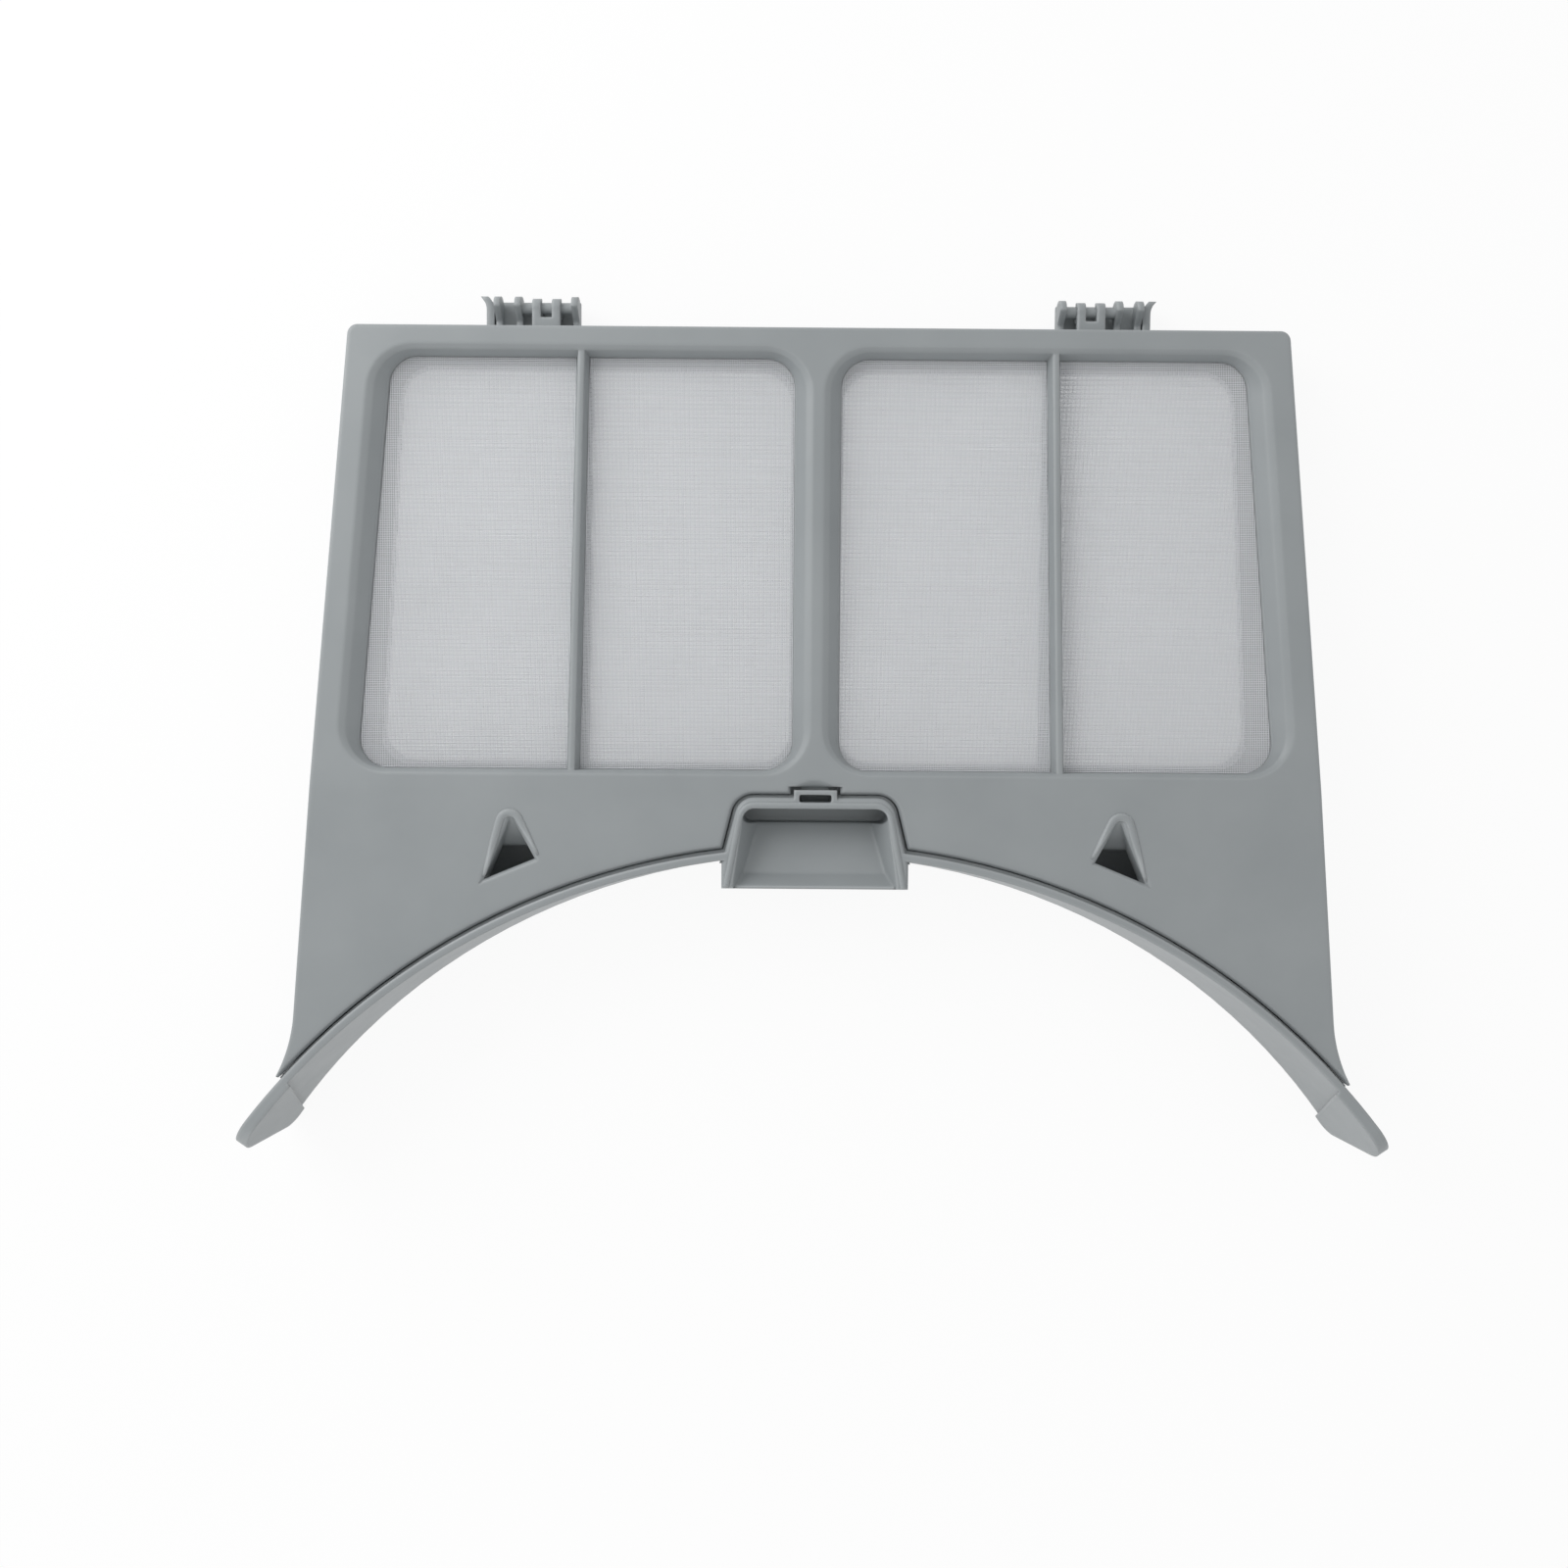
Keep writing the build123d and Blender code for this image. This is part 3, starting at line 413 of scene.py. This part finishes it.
def screen_tree(thread):
    """Geometry Nodes for one woven screen: crossing threads, cut to a rounded trapezoid."""
    tree, nodes, given = new_tree("woven_screen", SCREEN_INPUTS, ["Centre"])
    math = nodes.math
    half = math("MULTIPLY", given["Length"], 0.5)
    half_pitch = math("MULTIPLY", given["Pitch"], 0.5)
    width = math("SUBTRACT", given["Outer Edge"], given["Inner Edge"])
    columns = math("CEIL", math("DIVIDE", width, given["Pitch"]))
    rows = math("FLOOR", math("DIVIDE", given["Length"], given["Pitch"]))

    def corner_inset(distance):
        """How far a rounded corner cuts in, at a distance from the edge that it starts from."""
        inside = math("MAXIMUM", math("SUBTRACT", given["Corner"], math("MAXIMUM", distance, 0.0)), 0.0)
        across = math("SUBTRACT", math("POWER", given["Corner"], 2.0), math("POWER", inside, 2.0))
        return math("SUBTRACT", given["Corner"], math("SQRT", across))

    def outer_edge(v):
        """The outer edge leans in towards the hinge end."""
        lean = math("MULTIPLY", math("ADD", v, half), given["Side Slope"])
        return math("SUBTRACT", given["Outer Edge"], lean)

    def field_at(axis):
        """One coordinate of the points that are being placed."""
        return nodes.axis(nodes.add("GeometryNodeInputPosition").outputs["Position"], axis)

    def parallel_lines(across, along, cross_axis):
        """Grid of points about the middle, with only the edges that run along the threads."""
        grid = nodes.add(
            "GeometryNodeMeshGrid",
            {
                "Size X": math("MULTIPLY", math("SUBTRACT", across, 1.0), given["Pitch"]),
                "Size Y": math("MULTIPLY", math("SUBTRACT", along, 1.0), given["Pitch"]),
                "Vertices X": across,
                "Vertices Y": along,
            },
        )
        ends = nodes.add("GeometryNodeInputMeshEdgeVertices").outputs
        span = nodes.add(
            "ShaderNodeVectorMath", {0: ends["Position 1"], 1: ends["Position 2"]}, operation="SUBTRACT"
        )
        crosswise = math("ABSOLUTE", nodes.axis(span.outputs["Vector"], cross_axis))
        lines = nodes.add(
            "GeometryNodeDeleteGeometry",
            {"Geometry": grid.outputs["Mesh"], "Selection": nodes.greater(crosswise, half_pitch)},
            domain="EDGE",
            mode="EDGE_FACE",
        )
        return lines.outputs["Geometry"]

    def thread_end(axis, low, high):
        """The far edge of the pane for points beyond the middle, and the near edge for the others."""
        beyond = nodes.greater(field_at(axis), 0.0)
        chosen = nodes.add(
            "GeometryNodeSwitch", {"Switch": beyond, "False": low, "True": high}, input_type="FLOAT"
        )
        return chosen.outputs["Output"]

    def thread_tubes(lines, x, y, z, number, seed):
        """Lines moved into place and made into flattened tubes, with one tone for each thread."""
        place = nodes.add("ShaderNodeCombineXYZ", {"X": math("MULTIPLY", x, given["Side"]), "Y": y, "Z": z})
        whole = nodes.add("FunctionNodeFloatToInt", {"Float": number}, rounding_mode="ROUND")
        tone = nodes.add(
            "FunctionNodeRandomValue", {"ID": whole.outputs["Integer"], "Seed": seed}, data_type="FLOAT"
        )
        toned = nodes.add(
            "GeometryNodeStoreNamedAttribute",
            {"Geometry": lines, "Name": "thread_tone", "Value": tone.outputs[1]},
            data_type="FLOAT",
            domain="POINT",
        )
        moved = nodes.add(
            "GeometryNodeSetPosition",
            {"Geometry": toned.outputs["Geometry"], "Position": place.outputs["Vector"]},
        )
        curves = nodes.add("GeometryNodeMeshToCurve", {"Mesh": moved.outputs["Geometry"]})
        wide = math("MULTIPLY", given["Pitch"], THREAD_WIDTH)
        high = math("MULTIPLY", given["Pitch"], THREAD_HEIGHT)
        return flattened_tube(nodes, curves.outputs["Curve"], wide, high, THREAD_SIDES)

    # Wefts: across the pane, over and under the warps by turns
    v = field_at("Y")
    inset = corner_inset(math("SUBTRACT", half, math("ABSOLUTE", v)))
    low_u = math("ADD", given["Inner Edge"], inset)
    high_u = math("SUBTRACT", outer_edge(v), inset)
    row = math("ROUND", math("DIVIDE", math("ADD", v, half), given["Pitch"]))
    turn_over = math("SUBTRACT", math("MULTIPLY", math("MODULO", row, 2.0), 2.0), 1.0)
    lift = math("MULTIPLY", turn_over, math("MULTIPLY", given["Pitch"], THREAD_LIFT))
    weft_end = thread_end("X", low_u, high_u)
    wefts = thread_tubes(parallel_lines(2, rows, "Y"), weft_end, v, lift, row, WEFT_SEED)

    # Warps: along the pane, from edge to edge
    first_u = math("ADD", given["Inner Edge"], math("MULTIPLY", columns, half_pitch))
    u = math("ADD", field_at("X"), first_u)
    inner_inset = corner_inset(math("SUBTRACT", u, given["Inner Edge"]))
    low_inset = math("MAXIMUM", inner_inset, corner_inset(math("SUBTRACT", given["Outer Edge"], u)))
    high_inset = math("MAXIMUM", inner_inset, corner_inset(math("SUBTRACT", outer_edge(half), u)))
    low_v = math("SUBTRACT", low_inset, half)
    by_slope = math("DIVIDE", math("SUBTRACT", given["Outer Edge"], u), given["Side Slope"])
    by_edge = math("MINIMUM", math("SUBTRACT", half, high_inset), math("SUBTRACT", by_slope, half))
    high_v = math("MAXIMUM", by_edge, low_v)
    column = math("DIVIDE", u, given["Pitch"])
    warp_end = thread_end("Y", low_v, high_v)
    warps = thread_tubes(parallel_lines(columns, 2, "X"), u, warp_end, 0.0, column, WARP_SEED)

    both = nodes.add("GeometryNodeJoinGeometry")
    for threads in (wefts, warps):
        tree.links.new(threads, both.inputs["Geometry"])
    turn = nodes.add("ShaderNodeCombineXYZ", {"X": math("MULTIPLY", given["Tilt"], -1.0)})
    tilted = nodes.add(
        "GeometryNodeTransform",
        {
            "Geometry": both.outputs["Geometry"],
            "Rotation": turn.outputs["Vector"],
            "Translation": given["Centre"],
        },
    )
    end_tree(nodes, tilted.outputs["Geometry"], thread)
    return tree


def woven_screen(tree, node_name, pitch, tilt):
    """One screen of threads in the place of its packed pane, with its flat size and area."""
    low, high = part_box(node_name)
    thickness = (THREAD_HEIGHT + 2 * THREAD_LIFT) * pitch
    length = (high.y - low.y - thickness * sin(tilt)) / cos(tilt)
    side = 1.0 if low.x > 0 else -1.0
    inner, widest = sorted((abs(low.x), abs(high.x)))
    outer = widest + PANE_BEVEL * tan(SIDE_SLOPE)
    values = {
        "Side": side,
        "Inner Edge": inner,
        "Outer Edge": outer,
        "Length": length,
        "Side Slope": tan(SIDE_SLOPE),
        "Corner": PANE_CORNER,
        "Pitch": pitch,
        "Tilt": tilt,
        "Centre": (0.0, (low.y + high.y) / 2, (low.z + high.z) / 2),
    }
    start = bpy.data.meshes.new("screen_start")
    screen = grown_piece(node_name.replace("mesh", "woven_screen"), start, tree, values)
    area = (outer - inner) * length - length * length * tan(SIDE_SLOPE) / 2
    return screen, (outer - inner, length), area


def add_screens(thread):
    """The four woven screens, each riding with the half that holds it."""
    tree = screen_tree(thread)
    for half, body, holder, pitch, tilt in (
        ("front", "cover", "front_cover", FRONT_PITCH, WEDGE_ANGLE),
        ("rear", "frame", "rear_frame", REAR_PITCH, 0.0),
    ):
        for side in ("left", "right"):
            node_name = f"{half}_mesh_{side}"
            screen, flat, area = woven_screen(tree, node_name, pitch, tilt)
            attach(screen, body)
            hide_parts(node_name)


def finish_mouldings(plastic):
    """The satin plastic on both mouldings."""
    for name in ("front_cover", "rear_frame"):
        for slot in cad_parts[name].material_slots:
            slot.material = plastic


def add_floor():
    """A wide pale floor just under the part."""
    span = FLOOR_HALF_SPAN
    corners = [(x, y, -FLOOR_DROP) for x, y in ((-span, -span), (span, -span), (span, span), (-span, span))]
    mesh = bpy.data.meshes.new("floor")
    mesh.from_pydata(corners, [], [(0, 1, 2, 3)])
    floor = bpy.data.objects.new("floor", mesh)
    bpy.context.scene.collection.objects.link(floor)
    mesh.materials.append(pale_floor())


def add_world():
    """Even pale surroundings: they light the part softly and show as white."""
    world = bpy.data.worlds.new("pale_surroundings")
    bpy.context.scene.world = world
    world.use_nodes = True
    nodes = Nodes(world.node_tree)
    background = world.node_tree.nodes["Background"]
    background.inputs["Color"].default_value = WHITE
    nodes.put(background.inputs["Strength"], nodes.spread(seen_rays(nodes), ROOM_LIGHT, ROOM_SEEN))


def add_lamp(name, place, aim, power):
    """A square soft box that faces a point."""
    light = bpy.data.lights.new(name, "AREA")
    light.size = LAMP_SIZE
    light.energy = power
    lamp = bpy.data.objects.new(name, light)
    bpy.context.scene.collection.objects.link(lamp)
    lamp.location = place
    lamp.rotation_euler = (Vector(aim) - Vector(place)).to_track_quat("-Z", "Y").to_euler()


def add_camera():
    """The photograph's view: square to the front face, turned a little."""
    data = bpy.data.cameras.new("photo_camera")
    camera = bpy.data.objects.new("photo_camera", data)
    bpy.context.scene.collection.objects.link(camera)
    data.sensor_width = SENSOR_WIDTH
    data.lens = SENSOR_WIDTH * FOCAL_PIXELS / PHOTO_SIZE
    data.clip_start = CAMERA_NEAR
    back = Vector((0, sin(WEDGE_ANGLE), cos(WEDGE_ANGLE)))
    right = Vector((1, 0, 0))
    up = back.cross(right)
    turned_right = right * cos(CAMERA_ROLL) + up * sin(CAMERA_ROLL)
    turned_up = up * cos(CAMERA_ROLL) - right * sin(CAMERA_ROLL)
    place = Matrix((turned_right, turned_up, back)).transposed().to_4x4()
    place.translation = CAMERA_AIM + back * CAMERA_DISTANCE
    camera.matrix_world = place
    bpy.context.scene.camera = camera


plastic = satin_plastic()
finish_mouldings(plastic)
add_rims(plastic)
add_screens(nylon_thread())
add_floor()
add_world()
add_lamp("soft_key", KEY_PLACE, KEY_AIM, KEY_POWER)
add_lamp("low_fill", FILL_PLACE, FILL_AIM, FILL_POWER)
add_camera()
bpy.context.scene.view_settings.view_transform = "Standard"
